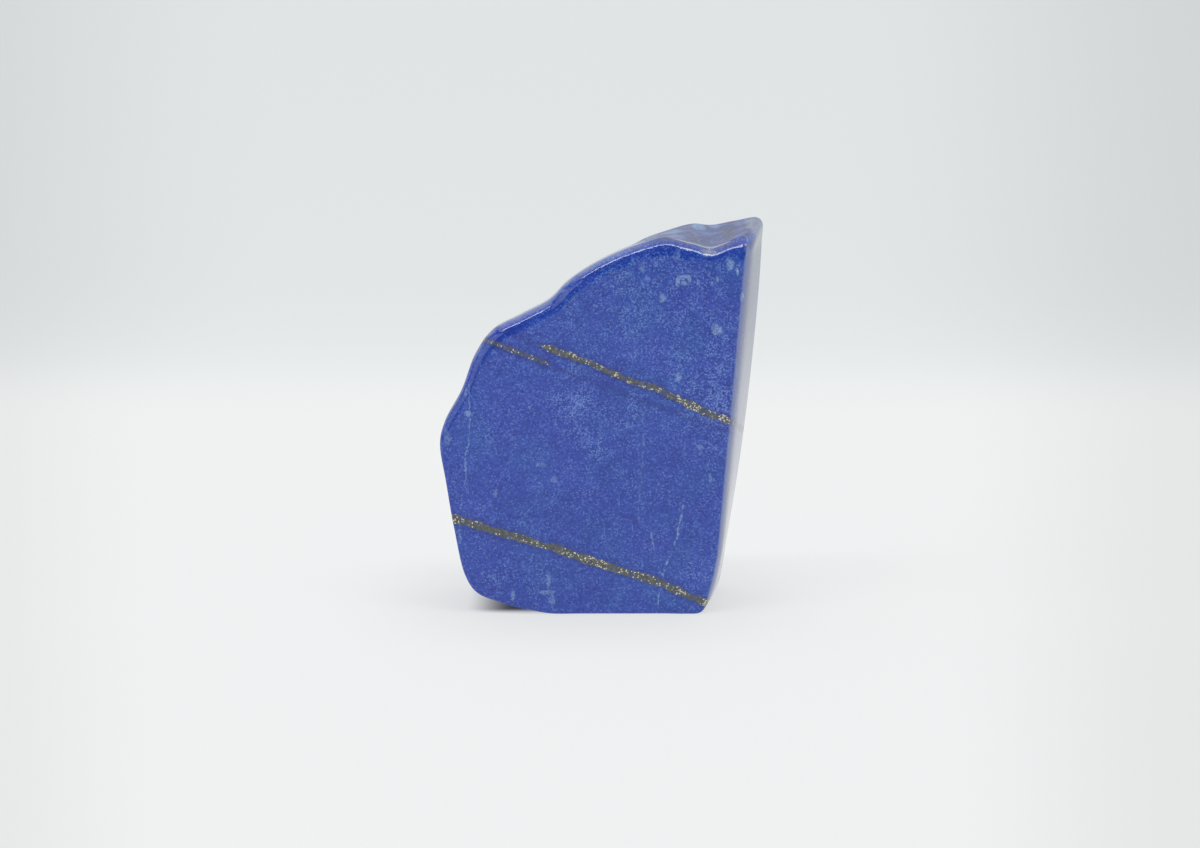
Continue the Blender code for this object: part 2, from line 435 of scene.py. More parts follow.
# Mineral grains: each has a random tone, and is highest in its middle.
def grainGroup():
    tree, given, wanted = newGroup(
        "Mineral Grains",
        (("Position", "NodeSocketVector", (0.0, 0.0, 0.0)), ("Size", "NodeSocketFloat", 0.5)),
        (("Tone", "NodeSocketFloat"), ("Height", "NodeSocketFloat")),
    )
    wobble = addNode(tree, "ShaderNodeTexNoise")
    wobble.inputs["Detail"].default_value = 2.0
    scale = calc(tree, "DIVIDE", 1.0, given["Size"])
    feed(tree, wobble.inputs["Vector"], given["Position"])
    feed(tree, wobble.inputs["Scale"], times(tree, scale, 1.7))
    push = vectorCalc(tree, "SCALE", wobble.outputs["Color"], times(tree, given["Size"], 0.5))
    cells = addNode(tree, "ShaderNodeTexVoronoi")
    feed(tree, cells.inputs["Vector"], vectorCalc(tree, "ADD", given["Position"], push))
    feed(tree, cells.inputs["Scale"], scale)
    parts = addNode(tree, "ShaderNodeSeparateColor")
    feed(tree, parts.inputs[0], cells.outputs["Color"])
    feed(tree, wanted["Tone"], parts.outputs["Red"])
    feed(tree, wanted["Height"], step(tree, cells.outputs["Distance"], 0.7, 0.2))
    return tree


# A sheet of pyrite in the rock: grey matrix with a ragged edge, chains of bright flecks, tapered ends.
def veinGroup(grains):
    tree, given, wanted = newGroup(
        "Pyrite Vein",
        (
            ("Position", "NodeSocketVector", (0.0, 0.0, 0.0)),
            ("Level", "NodeSocketFloat", 0.0),
            ("Half Width", "NodeSocketFloat", 1.0),
            ("Start", "NodeSocketFloat", -50.0),
            ("End", "NodeSocketFloat", 50.0),
            ("Richness", "NodeSocketFloat", 0.5),
            ("Cover", "NodeSocketFloat", 0.9),
        ),
        (("Matrix", "NodeSocketFloat"), ("Flecks", "NodeSocketFloat"), ("Halo", "NodeSocketFloat")),
    )
    form = lapis["veinForm"]
    position = given["Position"]
    place = axes(tree, position)
    above = calc(tree, "SUBTRACT", place["Z"], given["Level"])
    above = mulAdd(tree, uneven(tree, position, form["bendSize"]), form["bend"], above)
    fray = uneven(tree, position, form["fraySize"], 3.0, 0.7)
    gap = calc(tree, "ABSOLUTE", mulAdd(tree, fray, form["fray"], above))
    fromStart = calc(tree, "SUBTRACT", place["X"], given["Start"])
    toEnd = calc(tree, "SUBTRACT", given["End"], place["X"])
    reach = times(
        tree,
        step(tree, fromStart, 0.0, form["taperIn"]),
        step(tree, toEnd, 0.0, form["taperOut"]),
        mulAdd(tree, noise(tree, position, form["swellSize"]), form["swell"], form["narrowest"]),
        given["Half Width"],
    )
    inside = calc(tree, "SUBTRACT", reach, gap)
    matrix = times(tree, step(tree, inside, -0.35, 0.35), given["Cover"], step(tree, reach, 0.02, 0.3))
    feed(tree, wanted["Matrix"], matrix)
    feed(tree, wanted["Halo"], step(tree, inside, -form["haloReach"], 0.1))
    cells = placeGroup(tree, grains, Position=position, Size=form["fleck"])
    cluster = step(tree, noise(tree, position, form["clusterSize"], 1.0), 0.38, 0.62)
    bar = mulAdd(tree, times(tree, cluster, given["Richness"]), -0.85, 0.95)
    chosen = step(tree, calc(tree, "SUBTRACT", cells["Tone"], bar), 0.0, 0.08)
    shape = step(tree, cells["Height"], 0.1, 0.75)
    feed(tree, wanted["Flecks"], times(tree, chosen, step(tree, inside, -0.1, 0.2), shape))
    return tree


# A pale calcite bleb: an uneven patch of crowded grains.
def spotGroup(grains):
    tree, given, wanted = newGroup(
        "Calcite Spot",
        (
            ("Position", "NodeSocketVector", (0.0, 0.0, 0.0)),
            ("Centre", "NodeSocketVector", (0.0, 0.0, 0.0)),
            ("Stretch", "NodeSocketVector", (1.0, 1.0, 1.0)),
        ),
        (("Mask", "NodeSocketFloat"),),
    )
    form = lapis["spotForm"]
    position = given["Position"]
    offset = vectorCalc(tree, "SUBTRACT", position, given["Centre"])
    away = vectorCalc(tree, "LENGTH", vectorCalc(tree, "MULTIPLY", offset, given["Stretch"]))
    away = mulAdd(tree, uneven(tree, position, form["fraySize"], 3.0, 0.7), form["fray"], away)
    cells = placeGroup(tree, grains, Position=position, Size=form["grain"])
    share = mulAdd(tree, step(tree, cells["Tone"], 0.25, 0.7), form["crowded"], form["sparse"])
    feed(tree, wanted["Mask"], times(tree, step(tree, away, 1.5, 0.75), share))
    return tree


# A healed crack: a thin pale line that breaks up along its way.
def hairlineGroup():
    tree, given, wanted = newGroup(
        "Healed Crack",
        (
            ("Position", "NodeSocketVector", (0.0, 0.0, 0.0)),
            ("Line", "NodeSocketFloat", 0.0),
            ("Width", "NodeSocketFloat", 0.3),
            ("Bottom", "NodeSocketFloat", 0.0),
            ("Top", "NodeSocketFloat", 100.0),
        ),
        (("Mask", "NodeSocketFloat"),),
    )
    form = lapis["crackForm"]
    position = given["Position"]
    place = axes(tree, position)
    offset = calc(tree, "SUBTRACT", place["X"], given["Line"])
    wander = uneven(tree, position, form["wanderSize"], 4.0, 0.65)
    away = calc(tree, "ABSOLUTE", mulAdd(tree, wander, form["wander"], offset))
    mask = times(
        tree,
        step(tree, calc(tree, "DIVIDE", away, given["Width"]), 1.0, 0.3),
        step(tree, calc(tree, "SUBTRACT", place["Z"], given["Bottom"]), 0.0, form["fade"]),
        step(tree, calc(tree, "SUBTRACT", given["Top"], place["Z"]), 0.0, form["fade"]),
        step(tree, noise(tree, position, form["breakSize"], 4.0, 0.8), 0.42, 0.62),
        step(tree, place["Y"], *form["endsInside"]),
    )
    feed(tree, wanted["Mask"], mask)
    return tree


# What a user would change about the lapis. Lengths are millimetres and colours are linear.
lapis = {
    "blues": (  # from deep to pale, each with its place on the scale of tones
        (0.26, (0.010, 0.032, 0.280)),
        (0.44, (0.020, 0.062, 0.425)),
        (0.60, (0.040, 0.102, 0.530)),
        (0.86, (0.105, 0.205, 0.660)),
    ),
    "speck": (0.210, 0.350, 0.750),  # the pale grains
    "violetCast": (1.14, 0.94, 1.00),  # the two hues that the clouds lean to
    "greyCast": (0.98, 1.12, 0.98),
    "sizes": {
        "fineGrain": 0.40,
        "coarseGrain": 1.2,
        "speckle": 0.62,
        "blotch": 3.2,
        "hueCloud": 12.0,
        "slowTone": 22.0,
        "veinStray": 24.0,
    },
    "toneShares": {  # how much each of these lightens the blue
        "fine": 0.17,
        "coarse": 0.07,
        "speckle": 0.42,
        "speckleInCrowds": 2.1,
        "blotches": 0.17,
        "slowTone": 0.18,
        "strokes": 0.22,
        "crowds": 0.10,
        "all": 0.07,
    },
    "strokes": {"slant": -52.0, "stretch": (0.12, 0.3, 1.5)},  # degrees, and how fine along each axis
    "speckShare": 0.16,  # how many of the fine grains are pale
    # How thickly pale grains stand everywhere and in the hazes below, and how patchily.
    "crowding": {"everywhere": 0.38, "inHazes": 0.85, "patchy": 0.65, "patchSize": 4.0},
    "veinMatrix": (  # the grey of the veins, from dark to light
        (0.30, (0.060, 0.074, 0.062)),
        (0.50, (0.104, 0.117, 0.082)),
        (0.72, (0.185, 0.192, 0.145)),
    ),
    "pyrite": (0.76, 0.72, 0.56),
    "calcite": (0.30, 0.47, 0.74),
    "roughness": 0.10,
    "pyriteRoughness": 0.28,
    "indexOfRefraction": 1.55,
    "polishWaves": 0.05,  # how deep the polish rolls over the harder and softer grains
    # The paler, greyer rock that shows on the cut right side and on the flat of the top.
    "rind": {
        "colour": (0.095, 0.112, 0.150),
        "side": 0.76,  # how far it covers the side
        "top": 0.6,
        "topFromX": (4.0, 13.0),  # where it begins on the top and where it is whole
        "topRagged": 26.0,
        "ochre": (0.28, 0.22, 0.13),
        "dullness": 0.5,  # how much rougher the top is for it
        "veinsHidden": 0.855,  # how far it hides the veins where it covers the cut side whole
        "streakStretch": (1.0, 0.9, 0.09),
        "speckStretch": (1.0, 0.6, 1.0),
    },
    # Painted shade: a deeper blue where the front starts to round over, standing in for the dark room
    # reflected in the polish there.
    "paintedRimShade": 0.4,  # how much deeper the blue is where the front starts to round over
    # Pale grey over the shoulder of the left slope and worn chips (middle, half
    #  its sizes, strength), of which the first is a painted highlight that thickens the bright line under
    #  the top;
    #  and a painted reflection: pale blue down the rounded right edge.
    "wearAndSheen": {
        "colour": (0.27, 0.30, 0.40),
        "slope": 0.65,
        "chips": (
            # The first chip is a painted highlight on the bright line under the top, not a chip.
            ((28.2, -15.2, 98.9), (1.7, 1.5, 0.9), 1.0),
            ((38.6, -15.0, 99.5), (0.8, 1.5, 1.6), 0.7),
            ((41.8, 2.0, 104.8), (2.4, 11.0, 2.5), 1.2),
        ),
        "edgeSheenColour": (0.20, 0.26, 0.54),
        "edge": 0.5,
    },
    "frontY": -16.8,  # where the paths below were laid, on the front face
    "veinDip": -0.165,  # how the sheets drop towards the back
    "veinStray": 0.4242,  # how freely they stray up and down, for every millimetre of depth
    "richerToRight": 0.006,  # how much more fleck each vein holds for every millimetre to the right
    "halo": 0.5,  # how far the blue deepens beside them
    "veinForm": {  # millimetres, except the shares
        "bend": 1.3,
        "bendSize": 4.0,
        "fray": 1.4,
        "fraySize": 0.9,
        "taperIn": 4.0,
        "taperOut": 3.0,
        "swell": 1.3,  # shares of the half width
        "narrowest": 0.35,
        "swellSize": 4.5,
        "haloReach": 1.5,
        "fleck": 0.46,
        "clusterSize": 2.6,
    },
    # The spots: how far and how finely their edges fray, the size of their grains, and how well the
    # pale grains cover the blue where they crowd and elsewhere.
    "spotForm": {"fray": 2.4, "fraySize": 1.1, "grain": 0.45, "crowded": 0.65, "sparse": 0.42},
    "crackForm": {
        "wander": 2.2,
        "wanderSize": 1.8,
        "breakSize": 2.2,
        "fade": 2.0,
        "endsInside": (-8.0, -14.0),  # depth at which they die out, and where they are whole
    },
    # Each vein: its path over the front as x and z, half its width, where it starts and ends,
    # how rich it is in bright flecks, and how far it hides the blue.
    "veins": {
        "upperLeft": {
            "path": ((-50, 82.3), (-31.1, 75.3), (-23.9, 72.8), (-16.9, 69.9), (-5, 65.0), (50, 45.0)),
            "halfWidth": 0.72,
            "start": -60.0,
            "end": -13.4,
            "richness": 0.82,
            "cover": 0.7,
        },
        "middle": {
            "path": (
                (-50, 88.0), (-16.7, 74.1), (-6.2, 70.3), (4.4, 65.7),
                (15.2, 61.7), (24.1, 57.7), (34.4, 53.4), (50, 47.5),
            ),
            "halfWidth": 0.95,
            "start": -18.2,
            "end": 80.0,
            "richness": 0.85,
            "cover": 0.9,
        },
        "lower": {
            "path": (
                (-50, 30.0), (-40.7, 26.8), (-31.8, 24.0), (-21.0, 20.8), (-11.5, 17.9),
                (4.3, 12.3), (16.3, 8.5), (24.5, 4.6), (50, -4.6),
            ),
            "halfWidth": 1.15,
            "start": -80.0,
            "end": 33.0,
            "richness": 0.56,
            "cover": 0.98,
        },
    },
    # Calcite on the front: x and z, half its width and height, and strength.
    "spots": (
        (30.3, 78.4, 1.2, 1.2, 0.75),
        (15.7, 86.9, 0.85, 0.9, 0.6),
        (33.7, 95.9, 0.9, 1.4, 0.6),
        (20.0, 65.7, 0.9, 1.0, 0.5),
        (19.8, 91.2, 0.5, 1.0, 0.75),
        (21.3, 92.4, 1.1, 0.5, 0.75),
        (22.9, 92.3, 0.55, 0.8, 0.7),
        (21.4, 90.9, 0.8, 0.6, 0.7),
        (19.6, 98.2, 0.8, 1.2, 0.3),
        (10.4, 95.0, 0.6, 1.3, 0.35),
        (35.7, 93.8, 0.3, 0.75, 1.0),
        (29.0, 90.9, 0.5, 0.4, 0.75),
        (30.4, 92.0, 0.3, 0.6, 0.6),
        (25.2, 91.0, 0.5, 0.6, 0.5),
        (26.1, 46.5, 0.7, 0.8, 0.45),
        (28.9, 38.0, 0.4, 1.0, 0.4),
        (-36.5, 55.6, 0.8, 0.7, 0.8),
        (-42.2, 49.0, 1.0, 1.6, 0.3),
        (-37.0, 61.2, 0.35, 1.4, 0.3),
        (-15.0, 9.6, 0.5, 2.0, 0.45),
        (-15.5, 6.2, 2.0, 0.5, 0.45),
        (-14.0, 4.0, 0.7, 1.4, 0.4),
        (-24.7, 5.4, 0.4, 1.4, 0.6),
        (-13.3, 37.6, 0.9, 1.0, 0.4),
        (-17.0, 41.6, 1.2, 0.5, 0.3),
        (-20.0, 57.2, 0.5, 0.6, 0.6),
        (-29.2, 34.0, 0.5, 1.0, 0.35),
        (8.2, 71.0, 0.6, 0.6, 0.35),
    ),
    # Calcite on the top and corner: middle, half its sizes, and strength. The first two are painted
    # reflections: pale patches on the flat of the top.
    "topSpotsAndReflections": (
        ((26.3, 9.0, 103.6), (1.6, 4.0, 1.5), 0.65),
        ((31.0, 10.0, 103.0), (1.4, 3.0, 1.5), 0.45),
        ((18.0, 4.0, 102.4), (3.0, 5.0, 1.5), 0.35),
        ((40.6, -12.0, 103.8), (0.8, 1.5, 1.0), 0.9),
        ((37.1, -16.3, 87.2), (0.5, 1.5, 1.1), 1.0),
        ((36.0, -16.3, 66.0), (0.4, 1.5, 1.6), 0.5),
    ),
    # Healed cracks down the front: path as x and z, half width, strength.
    "cracks": {
        "left": {
            "path": ((-39.0, 20), (-38.7, 30), (-37.5, 37), (-37.1, 43), (-36.2, 52), (-36.2, 64)),
            "width": 0.30,
            "strength": 0.6,
        },
        "right": {
            "path": ((14.7, 0), (15.7, 8.5), (17.1, 14), (19.1, 19.1), (20.6, 25), (21.6, 31)),
            "width": 0.36,
            "strength": 0.85,
        },
        "short": {"path": ((13.9, 17.4), (13.2, 21.5), (12.7, 28)), "width": 0.32, "strength": 0.6},
        "faint": {"path": ((9.7, 26), (10.0, 38), (10.7, 47), (10.2, 59)), "width": 0.45, "strength": 0.3},
    },
    # Patches where pale grains crowd: x, z, radius and strength.
    "hazes": (
        (-8.4, 60.0, 8.0, 1.0),
        (-8.2, 66.5, 5.5, 0.6),
        (7.5, 56.5, 8.0, 0.55),
        (-3.0, 50.0, 13.0, 0.5),
        (28.0, 12.0, 10.0, 0.5),
        (12.0, 93.0, 34.0, 0.5),
        (34.0, 62.0, 26.0, 1.0),
        (-30.0, 8.0, 9.0, 0.35),
    ),
    # A painted highlight: a thin pale line along the crease of the top, standing in for the light the
    # crease catches: how far the surface faces the front where it starts, and where it ends.
    "paintedCreaseHighlight": {
        "colour": (0.50, 0.54, 0.64),
        "startsAt": -0.49,
        "endsAtY": -12.85,
        "fromX": 16.0,
        "toX": 39.5,
        "strength": 0.6,
    },
}


# A level or line that follows a path given over the front.
def followPath(tree, value, path, reach):
    low, high = path[0][0], path[-1][0]
    share = addNode(tree, "ShaderNodeMapRange")
    feed(tree, share.inputs["Value"], value)
    share.inputs["From Min"].default_value = low
    share.inputs["From Max"].default_value = high
    node = addNode(tree, "ShaderNodeFloatCurve")
    curve = node.mapping.curves[0]
    while len(curve.points) < len(path):
        curve.points.new(0.5, 0.5)
    for point, (along, across) in zip(curve.points, path):
        point.location = ((along - low) / (high - low), (across + reach) / (2 * reach))
    node.mapping.update()
    feed(tree, node.inputs["Value"], share.outputs["Result"])
    return mulAdd(tree, node.outputs["Value"], 2 * reach, -reach)


# How thickly pale grains crowd: everywhere a little, and more in the hazes.
def crowding(tree, position):
    crowd = lapis["crowding"]
    haze = 0.0
    for x, z, radius, strength in lapis["hazes"]:
        away = vectorCalc(tree, "DISTANCE", position, (x, lapis["frontY"], z))
        haze = mulAdd(tree, step(tree, away, radius, radius * 0.1), strength, haze)
    patches = step(tree, noise(tree, position, crowd["patchSize"]), 0.36, 0.66)
    patches = mulAdd(tree, patches, crowd["patchy"], 1.0 - crowd["patchy"])
    return times(tree, mulAdd(tree, haze, crowd["inHazes"], crowd["everywhere"]), patches)


# Faint strokes left by the lapping wheel, slanting up to the right.
def strokes(tree, position):
    turn = (0.0, math.radians(lapis["strokes"]["slant"]), 0.0)
    return noise(tree, stretched(tree, position, lapis["strokes"]["stretch"], turn), 1.0, 3.0, 0.65)


# The blue body: fine grains of lighter and darker blue, crowded pale grains, and slow clouds of hue.
def bodyColour(tree, position, grains):
    size, share = lapis["sizes"], lapis["toneShares"]
    fine = placeGroup(tree, grains, Position=position, Size=size["fineGrain"])
    coarse = placeGroup(tree, grains, Position=position, Size=size["coarseGrain"])
    crowd = crowding(tree, position)
    tone = times(tree, coarse["Tone"], share["coarse"])
    for value, part in (
        (fine["Tone"], share["fine"]),
        (
            uneven(tree, position, size["speckle"], 4.0, 0.85),
            mulAdd(tree, crowd, share["speckleInCrowds"], share["speckle"]),
        ),
        (noise(tree, position, size["blotch"], 3.0), share["blotches"]),
        (noise(tree, position, size["slowTone"], 1.0), share["slowTone"]),
        (strokes(tree, position), share["strokes"]),
        (crowd, share["crowds"]),
    ):
        tone = mulAdd(tree, value, part, tone)
    colour = addRamp(tree, calc(tree, "ADD", tone, share["all"]), lapis["blues"])
    cloud = noise(tree, position, size["hueCloud"], 2.5)
    colour = blend(tree, step(tree, cloud, 0.52, 0.36), colour, lapis["violetCast"], "MULTIPLY")
    colour = blend(tree, step(tree, cloud, 0.48, 0.66), colour, lapis["greyCast"], "MULTIPLY")
    bar = mulAdd(tree, crowd, -0.5, 1.0 - lapis["speckShare"])
    pale = step(tree, calc(tree, "SUBTRACT", fine["Tone"], bar), 0.0, 0.12)
    pale = times(tree, pale, mulAdd(tree, crowd, 0.6, 0.3, clamp=True), fine["Height"])
    return blend(tree, pale, colour, lapis["speck"])


# All the veins together: their matrix, flecks and dark halo. The rind of the cut side partly hides them.
def allVeins(tree, position, place, grains, rindSide):
    vein = veinGroup(grains)
    depth = calc(tree, "SUBTRACT", place["Y"], lapis["frontY"])
    stray = times(tree, uneven(tree, position, lapis["sizes"]["veinStray"], 1.0), depth, lapis["veinStray"])
    found = []
    for one in lapis["veins"].values():
        level = followPath(tree, place["X"], one["path"], 110.0)
        level = calc(tree, "ADD", mulAdd(tree, depth, lapis["veinDip"], level), stray)
        richness = mulAdd(tree, place["X"], lapis["richerToRight"], one["richness"])
        values = {"Half Width": one["halfWidth"], "Richness": richness, "Cover": one["cover"]}
        values.update(Position=position, Level=level, Start=one["start"], End=one["end"])
        found.append(placeGroup(tree, vein, **values))
    shown = mulAdd(tree, rindSide, -lapis["rind"]["veinsHidden"], 1.0)
    names = ("Matrix", "Flecks", "Halo")
    return [times(tree, most(tree, *(one[name] for one in found)), shown) for name in names]


# One mask for each spot, from its middle, half its sizes and its strength.
def spotMasks(tree, position, spot, rows):
    masks = []
    for centre, sizes, strength in rows:
        stretch = [1.0 / size for size in sizes]
        found = placeGroup(tree, spot, Position=position, Centre=centre, Stretch=stretch)
        masks.append(times(tree, found["Mask"], strength))
    return masks


# All the calcite spots and healed cracks, and two painted reflections on the top, as one mask.
def allMarksAndReflections(tree, position, place, spot):
    rows = list(lapis["topSpotsAndReflections"])
    for x, z, wide, high, strength in lapis["spots"]:
        rows.append(((x, lapis["frontY"], z), (wide, max(wide, high), high), strength))
    masks = spotMasks(tree, position, spot, rows)
    crack = hairlineGroup()
    for one in lapis["cracks"].values():
        line = followPath(tree, place["Z"], [(z, x) for x, z in one["path"]], 50.0)
        ends = {"Bottom": one["path"][0][1] - 1.0, "Top": one["path"][-1][1] + 1.0}
        found = placeGroup(tree, crack, Position=position, Line=line, Width=one["width"], **ends)
        masks.append(times(tree, found["Mask"], one["strength"]))
    return most(tree, *masks)


# The rind: grey streaks down the cut side, and grey with ochre specks over the flat of the top.
def rindColour(tree, position, place, colour, facing):
    rind = lapis["rind"]
    streaks = noise(tree, stretched(tree, position, rind["streakStretch"]), 3.0, 3.0, 0.6)
    streaks = mulAdd(tree, step(tree, streaks, 0.30, 0.62), 0.45, 0.7)
    side = times(tree, step(tree, facing["X"], 0.8, 0.985), rind["side"], streaks)
    patches = step(tree, noise(tree, position, 5.0, 3.0, 0.6), 0.34, 0.6)
    start = mulAdd(tree, uneven(tree, position, 7.0, 3.0, 0.6), rind["topRagged"], place["X"])
    top = times(
        tree,
        step(tree, facing["Z"], 0.6, 0.95),
        step(tree, start, *rind["topFromX"]),
        rind["top"],
        mulAdd(tree, patches, 0.6, 0.6),
    )
    colour = blend(tree, most(tree, side, top), colour, rind["colour"])
    specks = noise(tree, stretched(tree, position, rind["speckStretch"]), 0.9, 3.0, 0.8)
    specks = times(tree, step(tree, specks, 0.52, 0.62), top, mulAdd(tree, patches, 0.7, 0.4))
    return blend(tree, specks, colour, rind["ochre"]), side, top


# Pale grey over the left slope and in chips, the first chip a painted highlight, and a painted reflection
# in pale blue down the right edge.
def edgeWearAndSheen(tree, position, place, facing, spot):
    wearAndSheen = lapis["wearAndSheen"]
    inward = mulAdd(tree, noise(tree, position, 4.0, 3.0, 0.6), 9.0, place["Y"])
    slope = times(
        tree,
        step(tree, facing["Y"], -0.7, -0.35),
        step(tree, facing["Z"], 0.25, 0.5),
        step(tree, place["X"], 16.0, 4.0),
        step(tree, inward, -3.5, -7.5),
        mulAdd(tree, step(tree, noise(tree, position, 3.0, 3.0, 0.6), 0.3, 0.6), 0.5, 0.6),
        wearAndSheen["slope"],
    )
    # Painted reflection: paler blue down the rounding between the front and the cut right side.
    edge = times(tree, step(tree, facing["X"], 0.25, 0.65), step(tree, facing["Y"], -0.12, -0.4))
    edge = times(tree, edge, wearAndSheen["edge"])
    return most(tree, slope, *spotMasks(tree, position, spot, wearAndSheen["chips"])), edge


# Painted highlight: a pale line along the crease where the front rounding turns level and meets the flat of
# the top, standing in for the light the crease catches.
def paintedCreaseHighlight(tree, position, place, facing):
    seam = lapis["paintedCreaseHighlight"]
    level = mulAdd(tree, uneven(tree, position, 1.0, 3.0, 0.7), 0.07, facing["Y"])
    return times(
        tree,
        step(tree, level, seam["startsAt"], seam["startsAt"] + 0.03),
        step(tree, facing["Z"], 0.3, 0.5),
        step(tree, place["Y"], seam["endsAtY"], seam["endsAtY"] - 0.3),
        step(tree, place["X"], seam["fromX"], seam["fromX"] + 5.0),
        step(tree, place["X"], seam["toX"], seam["toX"] - 1.5),
        step(tree, noise(tree, position, 2.0, 3.0, 0.7), 0.25, 0.45),
        seam["strength"],
    )


# The whole colour, and the masks that the polish follows.
def stoneColour(tree, position, place, facing):
    grains = grainGroup()
    spot = spotGroup(grains)
    deepBlue = lapis["blues"][0][1]
    colour = bodyColour(tree, position, grains)
    colour, rindSide, rindTop = rindColour(tree, position, place, colour, facing)
    # Painted shade: deeper blue where the front starts to round over, standing in for the dark room
    # reflected there.
    paintedRimShade = times(
        tree,
        step(tree, facing["Y"], -0.985, -0.93),
        step(tree, facing["Y"], -0.6, -0.75),
        step(tree, facing["Z"], 0.06, 0.16),
        lapis["paintedRimShade"],
    )
    marksAndReflections = allMarksAndReflections(tree, position, place, spot)
    # Pale grey wear with one painted highlight chip, and a painted reflection down the right edge.
    wornAndHighlight, edge = edgeWearAndSheen(tree, position, place, facing, spot)
    # Painted highlight along the crease of the top.
    seam = paintedCreaseHighlight(tree, position, place, facing)
    matrix, flecks, halo = allVeins(tree, position, place, grains, rindSide)
    rock = mulAdd(tree, noise(tree, position, 0.8, 3.0, 0.75), 1.3, -0.15)
    cover = mulAdd(tree, step(tree, noise(tree, position, 2.0), 0.3, 0.55), 0.3, 0.66)
    for mask, above in (
        (paintedRimShade, deepBlue),
        (marksAndReflections, lapis["calcite"]),
        (wornAndHighlight, lapis["wearAndSheen"]["colour"]),
        (edge, lapis["wearAndSheen"]["edgeSheenColour"]),
        (seam, lapis["paintedCreaseHighlight"]["colour"]),
        (times(tree, halo, lapis["halo"]), deepBlue),
        (times(tree, matrix, cover), addRamp(tree, rock, lapis["veinMatrix"])),
        (flecks, lapis["pyrite"]),
    ):
        colour = blend(tree, mask, colour, above)
    return colour, marksAndReflections, matrix, flecks, rindTop


# How rough the polish is, and its fine relief in millimetres.
def polish(tree, position, marksAndReflections, matrix, flecks, rindTop):
    rough = mulAdd(tree, noise(tree, position, 6.0, 3.0), 0.06, lapis["roughness"] - 0.03)
    dull = most(tree, marksAndReflections, times(tree, matrix, 0.8))
    rough = mulAdd(tree, dull, lapis["pyriteRoughness"] - lapis["roughness"], rough)
    rough = mulAdd(tree, rindTop, lapis["rind"]["dullness"], rough)
    relief = times(tree, noise(tree, position, 1.6), lapis["polishWaves"])
    for value, height in (
        (noise(tree, position, 0.8), 0.004),
        (noise(tree, position, 7.0, 1.0), 0.05),
        (matrix, -0.03),
        (flecks, 0.04),
    ):
        relief = mulAdd(tree, value, height, relief)
    return rough, relief


def lapisMaterial():
    material = bpy.data.materials.new("polishedLapis")
    material.use_nodes = True
    tree = material.node_tree
    shader = tree.nodes["Principled BSDF"]
    coordinates = addNode(tree, "ShaderNodeTexCoord").outputs
    position = vectorCalc(tree, "SCALE", coordinates["Object"], 1.0 / mm)
    place, facing = axes(tree, position), axes(tree, coordinates["Normal"])
    colour, marksAndReflections, matrix, flecks, rindTop = stoneColour(tree, position, place, facing)
    rough, relief = polish(tree, position, marksAndReflections, matrix, flecks, rindTop)
    bump = addNode(tree, "ShaderNodeBump")
    bump.inputs["Distance"].default_value = mm
    feed(tree, bump.inputs["Height"], relief)
    feed(tree, shader.inputs["Base Color"], colour)
    feed(tree, shader.inputs["Metallic"], flecks)
    feed(tree, shader.inputs["Roughness"], rough)
    feed(tree, shader.inputs["Normal"], bump.outputs["Normal"])
    shader.inputs["IOR"].default_value = lapis["indexOfRefraction"]
    return material


def dressStone():
    piece = bpy.data.objects.new("polishedLapis", stoneMesh())
    bpy.context.scene.collection.objects.link(piece)
    piece.data.materials.append(lapisMaterial())
    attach(piece, "root")
    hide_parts("polished_lapis_stone")


dressStone()
print("stage: stone dressed")


# The studio: a sweep of pale board that glows with painted light, with a painted pool of light and painted
# shadows round the stone, an overhead light, a long strip light and two side lights.
studio = {
    "halfWidth": 6.0,
    "frontEdge": -9.0,
    "floorEnd": 0.42,
    "sweepRadius": 0.45,
    "wallTop": 1.9,
    "boardColour": (0.22, 0.224, 0.225),
    "paintedGlowNear": (0.63, 0.636, 0.635),  # painted light: the glow the board gives off by the stone, though it is no lamp
    "paintedGlowFar": (0.527, 0.554, 0.561),  # and at the back
    "paintedGlowRamp": (0.28, 0.60),  # from where to where, towards the back, it changes
    # A painted pool of light, which widens towards the back: from where to where to either side of its
    # middle
    #  the painted glow dims, as a share of the distance from its source, and by how much, at the back and
    #  in front.
    "paintedPool": {"middle": -0.02, "source": -0.62, "back": (0.12, 0.30, 0.19), "front": (0.17, 0.29, 0.13)},
    # A painted contact shadow: next to no glow comes from the patch of board that the stone covers: its
    # middle, half its sizes,
    #  its soft edge, and how much nearer that edge counts along each axis.
    "paintedContactShadow": {
        "middle": (-0.0045, 0.002, 0.0),
        "half": (0.0205, 0.0125, 1.0),
        "edge": 0.006,
        "nearer": (0.4, 1.0, 1.0),
        "depth": 0.95,
    },
    # A painted shadow: the glow is a little dimmer round the patch that the stone covers.
    "shade": {"reach": 0.055, "depth": 0.07},  # how far past it the board is a little darker, and how much
    "roomSeen": (0.66, 0.68, 0.69),  # what the camera sees past the board
    "roomLight": (0.07, 0.075, 0.08),  # what reaches the stone from there
    # Each light: middle, width, length, the point it faces, and its brightness.
    "lights": {
        "overhead": ((0.0, 0.85, 2.3), 4.0, 3.0, (0.0, 0.85, 0.0), 1.2),
        "strip": ((0.0, -0.78, 2.3), 3.4, 0.26, (0.0, 0.0, 0.05), 11.0),
        "left": ((-1.7, -0.8, 0.9), 1.8, 1.4, (0.0, 0.0, 0.1), 1.15),
        "right": ((1.7, -0.8, 0.9), 1.8, 1.4, (0.0, 0.0, 0.1), 0.85),
    },
}


